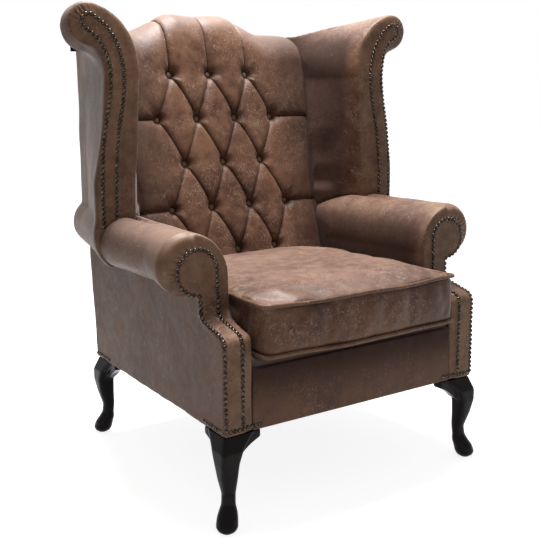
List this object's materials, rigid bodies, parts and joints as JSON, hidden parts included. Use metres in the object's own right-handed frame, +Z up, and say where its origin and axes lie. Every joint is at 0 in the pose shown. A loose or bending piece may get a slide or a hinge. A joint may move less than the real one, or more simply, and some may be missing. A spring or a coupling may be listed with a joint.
{
  "type": "wing chair",
  "caption": "Upholstered wing chair with a deep-buttoned back, scrolled wings and arms, nailed fronts, a loose box cushion and cabriole legs.",
  "frame": {"origin": "on the floor, under the middle of the chair's bounding box", "axes": "+Z up, the chair faces -Y, +X is to the right seen from in front of it"},
  "size_m": [0.954, 0.7939, 1.081],
  "materials": {
    "leather": "waxed, distressed mid-brown hide with fine pale scratches",
    "leg_wood": "dark mahogany stain under gloss lacquer",
    "frame_wood": "planed beech, unfinished",
    "nail_metal": "antiqued brass, dark in the hollows",
    "bolt_steel": "zinc plated",
    "glide_plastic": "moulded, matt",
    "webbing": "woven elastic strap",
    "deck_cloth": "brown platform cloth over foam",
    "dust_cloth": "thin black non-woven cloth",
    "core_foam": "open-cell foam",
    "zip_cloth": "brown woven zip tape",
    "zip_metal": "antiqued"
  },
  "bodies": {
    "chair": {"arm_facing_left": "leather", "arm_facing_right": "leather", "arm_nails_left": "nail_metal", "arm_nails_right": "nail_metal", "arm_post_left": "frame_wood", "arm_post_right": "frame_wood", "arm_rail_left": "frame_wood", "arm_rail_right": "frame_wood", "arm_roll_board_left": "frame_wood", "arm_roll_board_right": "frame_wood", "back_buttons": "leather", "back_fly": "leather", "back_lower_rail": "frame_wood", "back_upright_left": "frame_wood", "back_upright_right": "frame_wood", "back_webbing": "webbing", "base_nails": "nail_metal", "corner_blocks": "frame_wood", "crest_rail": "frame_wood", "dust_cover": "dust_cloth", "foot_glides": "glide_plastic", "front_border": "leather", "front_seat_rail": "frame_wood", "inside_arm_left": "leather", "inside_arm_right": "leather", "inside_back": "leather", "inside_wing_left": "leather", "inside_wing_right": "leather", "leg_bolts": "bolt_steel", "leg_front_left": "leg_wood", "leg_front_right": "leg_wood", "leg_rear_left": "leg_wood", "leg_rear_right": "leg_wood", "outside_arm_left": "leather", "outside_arm_right": "leather", "outside_back": "leather", "outside_wing_left": "leather", "outside_wing_right": "leather", "rear_post_left": "frame_wood", "rear_post_right": "frame_wood", "rear_seat_rail": "frame_wood", "seat_cross_webbing": "webbing", "seat_deck": "deck_cloth", "seat_webbing": "webbing", "side_seat_rail_left": "frame_wood", "side_seat_rail_right": "frame_wood", "wing_facing_left": "leather", "wing_facing_right": "leather", "wing_nails_left": "nail_metal", "wing_nails_right": "nail_metal", "wing_post_left": "frame_wood", "wing_post_right": "frame_wood", "wing_top_rail_left": "frame_wood", "wing_top_rail_right": "frame_wood"},
    "cushion": {"seat_cushion": "leather", "cushion_core": "core_foam", "cushion_piping_top": "leather", "cushion_piping_bottom": "leather", "zip_tape": "zip_cloth"},
    "zip_pull": {"zip_slider": "zip_metal"}
  },
  "joints": [
    {"name": "cushion_lift", "type": "slide", "parent": "chair", "child": "cushion", "axis": [0, -0.9397, 0.342], "range_m": [0, 0.52]},
    {"name": "zip_slide", "type": "slide", "parent": "cushion", "child": "zip_pull", "axis": [1, 0, 0], "range_m": [0, 0.366]}
  ]
}
